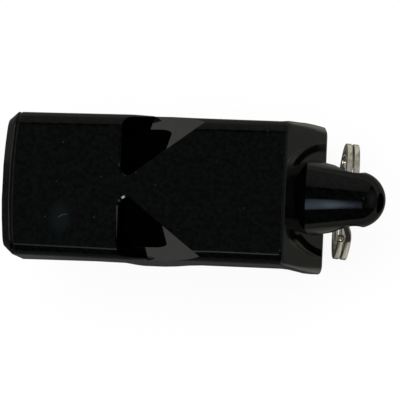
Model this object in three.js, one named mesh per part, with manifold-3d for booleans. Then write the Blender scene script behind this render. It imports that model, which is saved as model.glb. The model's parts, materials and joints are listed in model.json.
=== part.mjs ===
// A pealess three-chamber whistle: two moulded shells round an airway core, and a split ring in the tail eye.
// Millimetres. X runs from the mouth to the tail, Z is up. Stations along X are measured from the mouth end,
// and the finished group is moved so that its origin lies on the flat underside.
import * as THREE from 'three';
import { mergeVertices } from 'three/addons/utils/BufferGeometryUtils.js';
import Module from 'manifold-3d';

// Body
const bodyLength = 45.9;
const bodyWidth = 20.6;
const bodyHeight = 18.6;
const topEdgeRadius = 2.15;
const bottomEdgeRadius = 1.4;
const edgeRoundLimit = 0.45;
const partingHeight = 8;

// Mouthpiece: as tall as the body on top, stepped up underneath
const mouthLength = 17.2;
const mouthFrontWidth = 20.5;
const mouthRootWidth = 20.9;
const mouthUndersideHeight = 4.6;
const mouthUndersideRise = 0.6;
const mouthTopDrop = 0.4;
const mouthBow = 0.67;
const undersideStepRun = 5.2;
const lipCornerCut = 1.2;
const lipEdgeRadius = 1.1;
const lipGrooveStation = 1.5;
const lipGrooveWidth = 0.5;
const lipGrooveDepth = 0.15;

// Tail: a leaning rear face, flared at its foot
const rearTopStation = 40.9;
const rearEdgeBlend = 0.4;
const rearFootHeight = 4.5;
const tailWidth = 21.9;
const tailFlareRun = 6;
const tailCornerRadius = 1.2;

// Tail knob and its eye
const knobLength = 9.15;
const knobRootRadius = 5.25;
const noseRadius = 4.15;
const eyeSetback = 3.9;
const eyeRadius = 2.2;
const gatePitRadius = 1.3;
const gatePitDepth = 0.5;
const gatePitAngle = 23;

// Walls and fits
const roofWall = 2;
const sideWall = 1.8;
const floorWall = 1.8;
const rearWall = 2.6;
const mouthFloorWall = 2;
const fitGap = 0.3;

// Upper windows, one on each side of a narrow neck
const neckWidth = 2.9;
const neckLength = 1.25;
const windowInnerSetback = 0.7;
const windowRun = 12.8;
const windowDepth = 4.3;
const sillReach = 2.8;
const labiumReach = 7.2;
const labiumSkew = 17;
const rampAngle = 18;

// Third window, in the middle of the underside
const lowerWindowWidth = 9;
const lowerLabiumReach = 6.6;
const lowerRampAngle = 35;

// Airway core
const coreSetback = 1.2;
const centreLandWidth = 2.8;
const sideLandWidth = 0.5;
const lowerWindWayWidth = 8;
const windWayMouthHeight = 2.4;
const windWayExitHeight = 1.1;
const plateThickness = 1.4;
const finThickness = 1.8;

// Tongue of the lower shell, which stands inside the upper shell and carries the plate
const tongueHeight = 1.6;
const tongueThickness = 0.9;
const tongueLedgeDepth = 1.2;

// Split ring
const ringOuterDiameter = 17;
const ringWireRadial = 1.2;
const ringWireAxial = 0.8;
const ringTurnGap = 0.45;
const ringEdgeRadius = 0.2;
const ringTurns = 2;
const ringStepsPerTurn = 48;
const ringJogAngle = 24;
const ringJogPlace = -20;
const ringLean = 6.7;
const ringYaw = 4;

// Facets
const cornerSteps = 6;
const flatSteps = 6;
const roundSteps = 40;
const noseSteps = 9;
const stepRings = 6;
const blendRings = 2;
const flareRings = 4;
const leastRingStep = 0.02;
const mergeDistance = 1e-4;

// Worked out from the sizes above
const degrees = Math.PI / 180;
const innerHalfWidth = bodyWidth / 2 - sideWall;
const innerRoof = bodyHeight - roofWall;
const mouthFloor = mouthUndersideHeight + mouthFloorWall;
const rearSlope = (bodyHeight - rearFootHeight) / (bodyLength - rearTopStation);
const noseCentre = bodyLength + knobLength - noseRadius;
const eyeStation = bodyLength + eyeSetback;
const coneRun = noseCentre - bodyLength;
const coneReach = Math.hypot(knobRootRadius, coneRun);
const coneAngle = Math.acos(noseRadius / coneReach) - Math.atan2(coneRun, knobRootRadius);
const knobRadiusAtEye = knobRootRadius - Math.tan(coneAngle) * eyeSetback;
const plateUnderside = partingHeight + tongueHeight;
const plateTop = plateUnderside + plateThickness;
const lowerLabiumStation = mouthLength + lowerLabiumReach;
const lowerRampFoot = lowerLabiumStation + mouthFloor / Math.tan(lowerRampAngle * degrees);
const restStation = (lowerRampFoot + bodyLength) / 2;
const halfFacet = Math.PI / roundSteps;
const overcut = 1;

const wasm = await Module();
wasm.setup();

// Turns a closed geometry into a solid that can be joined and cut.
function solid(geometry) {
  const bare = geometry.clone();
  bare.deleteAttribute('normal');
  bare.deleteAttribute('uv');
  const merged = mergeVertices(bare, mergeDistance);
  const vertProperties = new Float32Array(merged.attributes.position.array);
  const triVerts = new Uint32Array(merged.index.array);
  return new wasm.Manifold(new wasm.Mesh({ numProp: 3, vertProperties, triVerts }));
}

function geometryOf(body) {
  const { vertProperties, triVerts } = body.getMesh();
  const geometry = new THREE.BufferGeometry();
  geometry.setAttribute('position', new THREE.BufferAttribute(vertProperties, 3));
  geometry.setIndex(new THREE.BufferAttribute(triVerts, 1));
  geometry.computeVertexNormals();
  return geometry;
}

function box(x0, x1, y0, y1, z0, z1) {
  const geometry = new THREE.BoxGeometry(x1 - x0, y1 - y0, z1 - z0);
  return geometry.translate((x0 + x1) / 2, (y0 + y1) / 2, (z0 + z1) / 2);
}

// A closed outline of [across, up] points.
function outline(points) {
  return new THREE.Shape(points.map(([a, b]) => new THREE.Vector2(a, b)));
}

// A side view of [x, z] points, carried across from y0 to y1.
function sideProfile(points, y0, y1) {
  const geometry = new THREE.ExtrudeGeometry(outline(points), { depth: y1 - y0, bevelEnabled: false });
  return geometry.rotateX(Math.PI / 2).translate(0, y1, 0);
}

function mirrorY(geometry) {
  const mirrored = geometry.index ? geometry.toNonIndexed() : geometry.clone();
  const position = mirrored.attributes.position;
  for (let i = 0; i < position.count; i += 3) {
    const first = new THREE.Vector3().fromBufferAttribute(position, i);
    const second = new THREE.Vector3().fromBufferAttribute(position, i + 1);
    position.setXYZ(i, second.x, -second.y, second.z);
    position.setXYZ(i + 1, first.x, -first.y, first.z);
    position.setY(i + 2, -position.getY(i + 2));
  }
  return mirrored;
}

// Skins a row of equal rings of points and closes both ends with a fan.
function skin(rings, startCentre, endCentre) {
  const count = rings[0].length;
  const points = rings.flat();
  const index = [];
  for (let i = 0; i + 1 < rings.length; i += 1) {
    for (let j = 0; j < count; j += 1) {
      const a = i * count + j;
      const b = i * count + (j + 1) % count;
      index.push(a, b, a + count, b, b + count, a + count);
    }
  }
  const start = points.push(startCentre) - 1;
  const end = points.push(endCentre) - 1;
  const last = (rings.length - 1) * count;
  for (let j = 0; j < count; j += 1) {
    const next = (j + 1) % count;
    index.push(start, next, j, end, last + j, last + next);
  }
  const geometry = new THREE.BufferGeometry().setFromPoints(points);
  geometry.setIndex(index);
  return geometry;
}

// How far a quarter round of this radius has still to go, at a distance from where it starts.
function roundInset(radius, distance) {
  const left = Math.max(0, radius - distance);
  return radius - Math.sqrt(radius * radius - left * left);
}

function smooth(from, to, t) {
  const s = Math.min(1, Math.max(0, t));
  return from + (to - from) * s * s * (3 - 2 * s);
}

function rearFaceStation(height) {
  return rearTopStation + (bodyHeight - height) / rearSlope;
}

function innerRearStation(height) {
  return rearFaceStation(height) - rearWall / Math.sin(Math.atan(rearSlope));
}

// Body outline at a station

function halfWidthAt(x) {
  const alongMouth = Math.min(1, x / mouthLength);
  const mouth = mouthFrontWidth + (mouthRootWidth - mouthFrontWidth) * alongMouth;
  const body = smooth(mouth, bodyWidth, (x - mouthLength) / undersideStepRun);
  const tail = smooth(body, tailWidth, (x - bodyLength + tailFlareRun) / (tailFlareRun - tailCornerRadius));
  return tail / 2 - Math.max(0, lipCornerCut - x) - roundInset(tailCornerRadius, bodyLength - x);
}

function lipGrooveAt(x) {
  return lipGrooveDepth * Math.max(0, 1 - Math.abs(x - lipGrooveStation) / (lipGrooveWidth / 2));
}

function topAt(x) {
  const beforeRoot = Math.max(0, 1 - x / mouthLength);
  const front = bodyHeight - mouthTopDrop * beforeRoot * beforeRoot - lipGrooveAt(x);
  const past = x - rearTopStation;
  const blended = Math.max(0, past + rearEdgeBlend) ** 2 / (4 * rearEdgeBlend);
  const drop = past < rearEdgeBlend ? blended : past;
  return front - drop * rearSlope - roundInset(lipEdgeRadius, x);
}

function bottomAt(x) {
  const beforeRoot = Math.max(0, 1 - x / mouthLength);
  const mouth = mouthUndersideHeight + mouthUndersideRise * beforeRoot;
  const body = smooth(mouth, 0, (x - mouthLength) / undersideStepRun);
  const ends = roundInset(lipEdgeRadius, x) + roundInset(bottomEdgeRadius, bodyLength - x);
  return body + lipGrooveAt(x) + ends;
}

// One rounded ring of the body, counter-clockwise seen from the tail.
function bodyRing(x) {
  const halfWidth = halfWidthAt(x);
  const top = topAt(x);
  const bottom = bottomAt(x);
  const room = edgeRoundLimit * (top - bottom);
  const upper = Math.min(topEdgeRadius, room);
  const lower = Math.min(bottomEdgeRadius, room);
  const bow = mouthBow * Math.max(0, 1 - x / mouthLength);
  const corners = [
    [halfWidth - upper, top - upper, upper],
    [upper - halfWidth, top - upper, upper],
    [lower - halfWidth, bottom + lower, lower],
    [halfWidth - lower, bottom + lower, lower],
  ];
  const flat = [];
  corners.forEach(([y, z, radius], corner) => {
    for (let k = 0; k <= cornerSteps; k += 1) {
      const angle = (corner + k / cornerSteps) * Math.PI / 2;
      flat.push([y + radius * Math.cos(angle), z + radius * Math.sin(angle)]);
    }
    if (corner % 2 === 0) {
      const nextY = corners[corner + 1][0];
      const level = corner === 0 ? top : bottom;
      for (let k = 1; k < flatSteps; k += 1) flat.push([y + (nextY - y) * k / flatSteps, level]);
    }
  });
  return flat.map(([y, z]) => new THREE.Vector3(x + bow * (y / halfWidth) ** 2, y, z));
}

function bodyStations() {
  const stations = [0, lipCornerCut, mouthLength / 2, mouthLength, bodyLength - tailFlareRun];
  const arc = (k) => 1 - Math.cos(k * Math.PI / 2 / cornerSteps);
  const flareStart = rearTopStation + rearEdgeBlend;
  const flareLength = bodyLength - tailCornerRadius - flareStart;
  const blendStep = rearEdgeBlend / blendRings;
  for (let k = 1; k <= cornerSteps; k += 1) stations.push(lipEdgeRadius * arc(k));
  for (let k = -1; k <= 1; k += 1) stations.push(lipGrooveStation + k * lipGrooveWidth / 2);
  for (let k = 1; k <= stepRings; k += 1) stations.push(mouthLength + undersideStepRun * k / stepRings);
  for (let k = -blendRings; k <= blendRings; k += 1) stations.push(rearTopStation + blendStep * k);
  for (let k = 1; k <= flareRings; k += 1) stations.push(flareStart + flareLength * k / flareRings);
  for (let k = 0; k <= cornerSteps; k += 1) stations.push(bodyLength - tailCornerRadius * arc(k));
  const sorted = stations.sort((a, b) => a - b);
  return sorted.filter((x, i) => i === 0 || x - sorted[i - 1] > leastRingStep);
}

function bodyForm() {
  const stations = bodyStations();
  const rings = stations.map(bodyRing);
  const front = new THREE.Vector3(0, 0, (topAt(0) + bottomAt(0)) / 2);
  const rear = new THREE.Vector3(bodyLength, 0, (topAt(bodyLength) + bottomAt(bodyLength)) / 2);
  return skin(rings, front, rear);
}

// Tail knob: a cone that runs into a round nose, with an eye across it. Both are turned by half a facet,
// so that the parting plane passes between their corners.

function knobForm() {
  const profile = [new THREE.Vector2(0, rearTopStation), new THREE.Vector2(knobRootRadius, rearTopStation)];
  profile.push(new THREE.Vector2(knobRootRadius, bodyLength));
  for (let k = 0; k <= noseSteps; k += 1) {
    const angle = coneAngle + k / noseSteps * (Math.PI / 2 - coneAngle);
    const radius = k < noseSteps ? noseRadius * Math.cos(angle) : 0;
    profile.push(new THREE.Vector2(radius, noseCentre + noseRadius * Math.sin(angle)));
  }
  const geometry = new THREE.LatheGeometry(profile, roundSteps);
  geometry.rotateY(halfFacet).rotateZ(-Math.PI / 2);
  return geometry.translate(0, 0, partingHeight);
}

function eyeForm() {
  const reach = 2 * (knobRootRadius + overcut);
  const geometry = new THREE.CylinderGeometry(eyeRadius, eyeRadius, reach, roundSteps);
  return geometry.rotateY(halfFacet).translate(eyeStation, 0, partingHeight);
}

// A shallow round pit on the upper side of the nose, where the moulding was fed.
function gatePitForm() {
  const geometry = new THREE.CylinderGeometry(gatePitRadius, gatePitRadius, 2 * gatePitDepth, roundSteps / 2);
  geometry.translate(0, noseRadius, 0).rotateZ((gatePitAngle - 90) * degrees);
  geometry.rotateX(Math.PI / 2);
  return geometry.translate(noseCentre, 0, partingHeight);
}

// Hollows of the shells

function upperHollow() {
  const low = partingHeight - overcut;
  const points = [[-overcut, low], [innerRearStation(low), low], [innerRearStation(innerRoof), innerRoof]];
  points.push([-overcut, innerRoof]);
  return sideProfile(points, -innerHalfWidth, innerHalfWidth);
}

// The lower chamber narrows to the tongue, and its front climbs behind the blown edge.
function lowerHollow() {
  const high = bodyHeight;
  const wallRun = floorWall / Math.sin(lowerRampAngle * degrees);
  const climbRun = (mouthFloor - floorWall) / Math.tan(lowerRampAngle * degrees);
  const climbStart = lowerLabiumStation + wallRun;
  const rear = innerRearStation(partingHeight);
  const points = [[mouthLength, mouthFloor], [climbStart, mouthFloor], [climbStart + climbRun, floorWall]];
  points.push([rear, floorWall], [rear, high], [mouthLength, high]);
  const narrow = innerHalfWidth - fitGap - tongueThickness;
  const throat = solid(sideProfile(points, -narrow, narrow));
  const wide = solid(sideProfile(points, -innerHalfWidth, innerHalfWidth));
  const ledge = partingHeight - tongueLedgeDepth;
  const below = solid(box(0, bodyLength, -bodyWidth, bodyWidth, -overcut, ledge));
  const mouth = solid(box(-overcut, mouthLength, -innerHalfWidth, innerHalfWidth, mouthFloor, high));
  return throat.add(wide.intersect(below)).add(mouth);
}

// Window between the mouthpiece and a blown edge: straight-sided in plan. Its floor is deep as far as a sill,
// and from there a ramp climbs to the blown edge and runs out through the side wall.
function upperWindow() {
  const apex = mouthLength + neckLength;
  const half = neckWidth / 2;
  const sideY = mouthRootWidth / 2 + overcut;
  const slope = (bodyWidth / 2 - half) / (windowRun - neckLength);
  const plan = [[mouthLength, half + windowInnerSetback], [apex, half]];
  plan.push([apex + (sideY - half) / slope, sideY], [mouthLength, sideY]);
  const depth = windowDepth + overcut;
  const prism = new THREE.ExtrudeGeometry(outline(plan), { depth, bevelEnabled: false });
  prism.translate(0, 0, bodyHeight - windowDepth);
  const skew = labiumSkew * degrees;
  const ramp = rampAngle * degrees;
  const along = new THREE.Vector3(Math.sin(skew), Math.cos(skew), 0);
  const level = new THREE.Vector3(Math.cos(skew), -Math.sin(skew), 0);
  const upRamp = level.clone().multiplyScalar(Math.cos(ramp)).setZ(Math.sin(ramp));
  const onRamp = new THREE.Matrix4().makeBasis(upRamp, along, upRamp.clone().cross(along));
  onRamp.setPosition(mouthLength + labiumReach, innerHalfWidth, innerRoof);
  const atSill = new THREE.Matrix4().makeBasis(level, along, new THREE.Vector3(0, 0, 1));
  atSill.setPosition(mouthLength + sillReach, innerHalfWidth, 0);
  const aboveRamp = box(-bodyLength, bodyLength, -bodyLength, bodyLength, 0, bodyLength).applyMatrix4(onRamp);
  const beforeSill = box(-bodyLength, 0, -bodyLength, bodyLength, 0, bodyLength).applyMatrix4(atSill);
  const open = solid(aboveRamp).add(solid(beforeSill));
  return geometryOf(solid(prism).intersect(open));
}

function lowerWindow() {
  const run = 1 / Math.tan(lowerRampAngle * degrees);
  const points = [[mouthLength, -overcut], [lowerRampFoot + overcut * run, -overcut]];
  points.push([lowerLabiumStation - overcut * run, mouthFloor + overcut]);
  points.push([mouthLength, mouthFloor + overcut]);
  return sideProfile(points, -lowerWindowWidth / 2, lowerWindowWidth / 2);
}

// Shells

function wholeForm() {
  const form = solid(bodyForm()).add(solid(knobForm()));
  return form.subtract(solid(eyeForm())).subtract(solid(gatePitForm()));
}

function halfSpace(z0, z1) {
  return solid(box(-bodyLength, 2 * bodyLength, -bodyWidth, bodyWidth, z0, z1));
}

function upperShell() {
  const window = upperWindow();
  const half = wholeForm().intersect(halfSpace(partingHeight, 2 * bodyHeight));
  const hollow = half.subtract(solid(upperHollow()));
  return hollow.subtract(solid(window)).subtract(solid(mirrorY(window)));
}

function tongue() {
  const outer = innerHalfWidth - fitGap;
  const inner = outer - tongueThickness;
  const rear = innerRearStation(plateUnderside) - fitGap;
  const front = mouthLength + fitGap;
  const low = partingHeight - tongueLedgeDepth;
  const rim = solid(box(front, rear, -outer, outer, low, plateUnderside));
  const inside = box(front - overcut, rear - tongueThickness, -inner, inner, low - overcut, bodyHeight);
  return rim.subtract(solid(inside));
}

function lowerShell() {
  const half = wholeForm().intersect(halfSpace(-bodyHeight, partingHeight));
  return half.subtract(lowerHollow()).subtract(solid(lowerWindow())).add(tongue());
}

// Airway core: block with three wind ways, plate between the chambers, fin between the upper two

function windWay(seat, direction, y0, y1) {
  const mouth = seat + direction * windWayMouthHeight;
  const exit = seat + direction * windWayExitHeight;
  const outside = seat - direction * overcut;
  const start = coreSetback - overcut;
  const grade = (exit - mouth) / (mouthLength - coreSetback);
  const end = mouthLength + overcut;
  const points = [[start, outside], [end, outside]];
  points.push([end, exit + grade * overcut], [start, mouth - grade * overcut]);
  return sideProfile(direction > 0 ? points : points.reverse(), y0, y1);
}

function airwayCore() {
  const half = innerHalfWidth - fitGap;
  const plateRear = innerRearStation(plateUnderside) - fitGap;
  const block = solid(box(coreSetback, mouthLength, -half, half, mouthFloor, innerRoof));
  const centre = centreLandWidth / 2;
  const side = half - sideLandWidth;
  const lowerHalf = lowerWindWayWidth / 2;
  const upperWay = windWay(innerRoof, -1, centre, side);
  const lowerWay = windWay(mouthFloor, 1, -lowerHalf, lowerHalf);
  const cut = block.subtract(solid(upperWay)).subtract(solid(mirrorY(upperWay))).subtract(solid(lowerWay));
  const rearTop = innerRearStation(plateTop) - fitGap;
  const plate = [[coreSetback + overcut, plateUnderside], [plateRear, plateUnderside], [rearTop, plateTop]];
  plate.push([coreSetback + overcut, plateTop]);
  const finRear = innerRearStation(innerRoof) - fitGap;
  const fin = [[coreSetback, plateUnderside], [plateRear, plateUnderside], [finRear, innerRoof]];
  fin.push([coreSetback, innerRoof]);
  const finHalf = finThickness / 2;
  return cut.add(solid(sideProfile(plate, -half, half))).add(solid(sideProfile(fin, -finHalf, finHalf)));
}

// Split ring: one wire wound twice round, with a jog where it changes from one turn to the next

function ringPath() {
  const radius = (ringOuterDiameter - ringWireRadial) / 2;
  const pitch = ringWireAxial + ringTurnGap;
  const jog = ringJogAngle * degrees;
  const sweep = ringTurns * 2 * Math.PI - 2 * jog;
  const steps = ringTurns * ringStepsPerTurn;
  const path = [];
  for (let k = 0; k <= steps; k += 1) {
    const angle = jog + sweep * k / steps;
    const turn = Math.round(angle / (2 * Math.PI));
    const climb = smooth(-1, 0, (angle - turn * 2 * Math.PI) / (2 * jog) + 0.5);
    const inTurn = turn === 0 || turn === ringTurns ? Math.floor(angle / (2 * Math.PI)) : turn + climb;
    path.push({ angle, radius, axial: (inTurn - (ringTurns - 1) / 2) * pitch });
  }
  return path;
}

function ringPoint({ angle, radius, axial }, out, across) {
  const r = radius + out;
  return new THREE.Vector3(axial + across, r * Math.sin(angle), r * Math.cos(angle));
}

// Least clear distance between the wire and a neighbouring turn of itself.
function leastTurnGap(path) {
  let least = Infinity;
  path.forEach((a, i) => {
    path.slice(i + ringStepsPerTurn / 2).forEach((b) => {
      const gap = ringPoint(a, 0, 0).distanceTo(ringPoint(b, 0, 0)) - ringWireAxial;
      least = Math.min(least, gap);
    });
  });
  return least;
}

function splitRing() {
  const path = ringPath();
  console.log(`split ring: least gap between turns ${leastTurnGap(path).toFixed(2)} mm`);
  const out = ringWireRadial / 2;
  const across = ringWireAxial / 2;
  const ease = ringEdgeRadius;
  const section = [[out, across - ease], [out - ease, across], [ease - out, across], [-out, across - ease]];
  section.push([-out, ease - across], [ease - out, -across], [out - ease, -across], [out, ease - across]);
  const rings = path.map((station) => section.map(([a, b]) => ringPoint(station, a, b)));
  const first = ringPoint(path[0], 0, 0);
  const last = ringPoint(path[path.length - 1], 0, 0);
  return skin(rings, first, last);
}

// Distance from the ring's centre to the eye's axis, midway between what the wire fills inside the eye.
function ringDrop() {
  const outer = ringOuterDiameter / 2;
  const inner = outer - ringWireRadial;
  return (outer + Math.sqrt(inner * inner - knobRadiusAtEye * knobRadiusAtEye)) / 2;
}

// The whistle

const blackPlastic = new THREE.MeshStandardMaterial({ color: 0x0c0d0d, roughness: 0.22, metalness: 0 });
const corePlastic = new THREE.MeshStandardMaterial({ color: 0x0a0a0a, roughness: 0.4, metalness: 0 });
const nickel = new THREE.MeshStandardMaterial({ color: 0xb9b3a4, roughness: 0.25, metalness: 1 });

function piece(name, geometry, material) {
  const mesh = new THREE.Mesh(geometry, material);
  mesh.name = name;
  return mesh;
}

const ring = piece('split_ring', splitRing(), nickel);
ring.position.z = -ringDrop();
ring.rotation.x = -ringJogPlace * degrees;
const ringHang = new THREE.Group();
ringHang.position.set(eyeStation, 0, partingHeight);
ringHang.rotation.set(0, ringLean * degrees, -ringYaw * degrees, 'ZYX');
ringHang.add(ring);

const whistle = new THREE.Group();
whistle.position.x = -restStation;
whistle.add(piece('upper_shell', geometryOf(upperShell()), blackPlastic));
whistle.add(piece('lower_shell', geometryOf(lowerShell()), blackPlastic));
whistle.add(piece('airway_core', geometryOf(airwayCore()), corePlastic));
whistle.add(ringHang);

export default whistle;
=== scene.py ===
# %% [markdown]
# # A pealess whistle in black plastic
# The whistle is two glossy mouldings welded together round an airway core, with a nickel split ring in the
# eye of its tail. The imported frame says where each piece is. This lesson models the shells and the ring again
# with finer edges, dresses every piece, and lights it the way a small glossy product is lit.

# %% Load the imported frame
import json
import math

import bmesh
import bpy
from mathutils import Matrix, Vector


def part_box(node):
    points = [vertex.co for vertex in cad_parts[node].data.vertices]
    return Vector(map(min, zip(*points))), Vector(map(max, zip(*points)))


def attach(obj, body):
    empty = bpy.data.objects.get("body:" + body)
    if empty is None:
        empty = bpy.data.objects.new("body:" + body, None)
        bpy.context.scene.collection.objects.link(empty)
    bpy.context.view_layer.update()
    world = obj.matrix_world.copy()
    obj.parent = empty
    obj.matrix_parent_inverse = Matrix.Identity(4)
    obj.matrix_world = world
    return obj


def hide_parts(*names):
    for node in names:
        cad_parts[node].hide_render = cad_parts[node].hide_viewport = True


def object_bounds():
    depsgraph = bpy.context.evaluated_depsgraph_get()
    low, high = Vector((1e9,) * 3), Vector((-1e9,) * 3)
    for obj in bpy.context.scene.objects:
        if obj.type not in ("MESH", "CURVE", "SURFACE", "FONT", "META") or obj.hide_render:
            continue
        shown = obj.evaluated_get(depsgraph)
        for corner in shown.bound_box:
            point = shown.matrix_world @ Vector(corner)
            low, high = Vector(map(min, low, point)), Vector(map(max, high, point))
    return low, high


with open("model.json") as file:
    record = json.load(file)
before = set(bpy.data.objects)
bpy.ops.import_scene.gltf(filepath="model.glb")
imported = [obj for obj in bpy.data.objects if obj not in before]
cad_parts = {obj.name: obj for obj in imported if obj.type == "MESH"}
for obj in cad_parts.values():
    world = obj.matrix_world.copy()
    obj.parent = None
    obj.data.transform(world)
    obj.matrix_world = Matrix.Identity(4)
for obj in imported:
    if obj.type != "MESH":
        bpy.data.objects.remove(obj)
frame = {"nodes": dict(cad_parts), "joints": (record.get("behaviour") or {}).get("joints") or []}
cad_low, cad_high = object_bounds()

# %% [markdown]
# ## Measures
# Everything is modelled in millimetres, with stations along X counted from the mouth end, because those are
# the numbers that a moulder would write on the drawing. A finished piece is shrunk to metres and moved into
# the frame in one step. The sizes that the frame can give are read from it.

# %% Measures from the frame
MM = 1000.0
upper_low, upper_high = (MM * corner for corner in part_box("upper_shell"))
lower_low, lower_high = (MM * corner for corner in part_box("lower_shell"))
mouth_end = Vector((upper_low.x, 0, 0))
height = upper_high.z
parting = upper_low.z
nose_tip = upper_high.x - mouth_end.x
tail_width = lower_high.y - lower_low.y
eye = MM * Vector(frame["joints"][0]["pos_m"]) - mouth_end
print(f"height {height:.2f}, parting {parting:.2f}, nose {nose_tip:.2f}")
print(f"tail {tail_width:.2f}, eye {eye.x:.2f}")

# %% [markdown]
# ## Hand tools
# A modeller selects by eye. A script selects by place, so these helpers pick vertices, edges or faces with a
# test, and then the same operators run that the menus would run. Everything is deselected first, because an
# operator acts on all that is selected.

# %% Hand tools
SELECT_KINDS = ("VERT", "EDGE", "FACE")
TOUCH = 1e-3
SHARP = math.radians(30)
ALONG, ACROSS, UPWARD = (1, 0, 0), (0, 1, 0), (0, 0, 1)


def object_mode():
    if bpy.context.mode != "OBJECT":
        bpy.ops.object.mode_set(mode="OBJECT")
    bpy.ops.object.select_all(action="DESELECT")


def take(piece):
    object_mode()
    bpy.context.view_layer.objects.active = piece
    piece.select_set(True)


def added(name):
    piece = bpy.context.active_object
    piece.name = name
    piece.data.name = name
    bpy.ops.object.transform_apply(location=True, rotation=True, scale=True)
    return piece


def block(name, low, high):
    low, high = Vector(low), Vector(high)
    object_mode()
    bpy.ops.mesh.primitive_cube_add(size=1, location=(low + high) / 2, scale=high - low)
    return added(name)


def shape(piece):
    take(piece)
    bpy.ops.object.mode_set(mode="EDIT")
    bpy.ops.mesh.select_all(action="DESELECT")


def pick(piece, kind, test):
    bpy.context.tool_settings.mesh_select_mode = [kind == each for each in SELECT_KINDS]
    bpy.ops.mesh.select_all(action="DESELECT")
    mesh = bmesh.from_edit_mesh(piece.data)
    mesh.normal_update()
    rows = {"VERT": mesh.verts, "EDGE": mesh.edges, "FACE": mesh.faces}[kind]
    chosen = [row for row in rows if test(row)]
    for row in chosen:
        row.select_set(True)
    bmesh.update_edit_mesh(piece.data)
    return len(chosen)


def near(a, b, reach=TOUCH):
    return abs(a - b) < reach


def middle(edge):
    return (edge.verts[0].co + edge.verts[1].co) / 2


def move(x=0.0, y=0.0, z=0.0):
    bpy.ops.transform.translate(value=(x, y, z))


def slice_across(place, normal, **keep):
    bpy.ops.mesh.select_all(action="SELECT")
    bpy.ops.mesh.bisect(plane_co=place, plane_no=normal, threshold=TOUCH / 10, **keep)


def apply_modifier(piece, kind, **settings):
    take(piece)
    modifier = piece.modifiers.new(kind.lower(), kind)
    for key, value in settings.items():
        setattr(modifier, key, value)
    bpy.ops.object.modifier_apply(modifier=modifier.name)


def carve(piece, cutter, operation="DIFFERENCE"):
    apply_modifier(piece, "BOOLEAN", object=cutter, operation=operation, solver="EXACT")
    report(piece, f"carved with {cutter.name}")
    bpy.data.objects.remove(cutter)


def copy_of(piece, name):
    twin = piece.copy()
    twin.data = piece.data.copy()
    twin.name = name
    bpy.context.scene.collection.objects.link(twin)
    return twin


def count(piece):
    return sum(len(face.vertices) - 2 for face in piece.data.polygons)


def open_edges(piece):
    mesh = bmesh.new()
    mesh.from_mesh(piece.data)
    loose = sum(not edge.is_manifold for edge in mesh.edges)
    mesh.free()
    return loose


def report(piece, what):
    print(f"{what}: {count(piece)} triangles, {open_edges(piece)} open edges")


def sharp(edge, least=SHARP):
    return len(edge.link_faces) == 2 and edge.calc_face_angle() > least


def soften(piece, test, width, segments=3):
    shape(piece)
    picked = pick(piece, "EDGE", lambda e: sharp(e) and test(middle(e)))
    bpy.ops.mesh.bevel(offset=width, segments=segments, affect="EDGES")
    object_mode()
    report(piece, f"softened {picked} edges by {width} mm")


# %% [markdown]
# ## Outer form of the body
# One moulded body is cut from a block. The block is sliced at the stations where its outline changes, and
# each slice is pushed to its width, top and underside. Low down the side walls swell a little, most of all
# beside the windows. The long edges then get bevel weights, so that one Bevel modifier rounds them all with
# their own radii and closes the corners between them.

# %% Body stations
body_length = 45.9
body_width = 20.6
mouth_length = 17.2
mouth_front_width = 20.5
mouth_root_width = 20.9
mouth_underside = 4.6
mouth_underside_rise = 0.6
mouth_top_drop = 0.4
mouth_bow = 0.67
step_run = 5.2
rear_top = 40.9
rear_foot = 4.5
rear_slope = (height - rear_foot) / (body_length - rear_top)
flare_start = body_length - 6.0
flare_end = body_length - 1.7
groove_station = 1.6
groove_width = 0.5
belly_level = 1.9
belly_all_along = 0.04
belly_at_mouth = 0.37
belly_at_window = 0.42
belly_rise_start, belly_rise_run = 16.0, 4.0
belly_fade_start, belly_fade_run = 22.4, 5.6
belly_reach = 0.02
bow_shares = (0.25, 0.5, 0.73)
step_slices = 12
tail_slices = 3


def ease(start, end, share):
    share = min(1.0, max(0.0, share))
    return start + (end - start) * share * share * (3 - 2 * share)


def half_width_at(x):
    mouth = mouth_front_width + (mouth_root_width - mouth_front_width) * min(1.0, x / mouth_length)
    body = ease(mouth, body_width, (x - mouth_length) / step_run)
    return ease(body, tail_width, (x - flare_start) / (flare_end - flare_start)) / 2


def top_at(x):
    before_root = max(0.0, 1 - x / mouth_length)
    return height - mouth_top_drop * before_root**2 - rear_slope * max(0.0, x - rear_top)


def underside_at(x):
    before_root = max(0.0, 1 - x / mouth_length)
    return ease(mouth_underside + mouth_underside_rise * before_root, 0.0, (x - mouth_length) / step_run)


def bow_at(x, y):
    return mouth_bow * (1 - x / mouth_length) * (y / half_width_at(x)) ** 2


def belly_at(x):
    rise = ease(0.0, belly_at_window, (x - belly_rise_start) / belly_rise_run)
    fade = ease(0.0, belly_at_window, (x - belly_fade_start) / belly_fade_run)
    swell = belly_all_along + belly_at_mouth * max(0.0, 1 - x / mouth_length) + (rise - fade)
    return min(swell, tail_width / 2 - half_width_at(x))


groove_stations = [groove_station + share * groove_width for share in (-0.5, 0.0, 0.5)]
mouth_stations = [*groove_stations, 3.0, 8.0, 12.5]
step_stations = [mouth_length + step_run * k / step_slices for k in range(step_slices + 1)]
window_stations = [24.2, 26.0, 28.0, 31.0]
tail_stations = [rear_top + (flare_end - rear_top) * k / tail_slices for k in range(tail_slices + 1)]
stations = [*mouth_stations, *step_stations, *window_stations, flare_start, *tail_stations]
bow_lines = [side * share * body_width / 2 for side in (-1, 1) for share in bow_shares]

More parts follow.
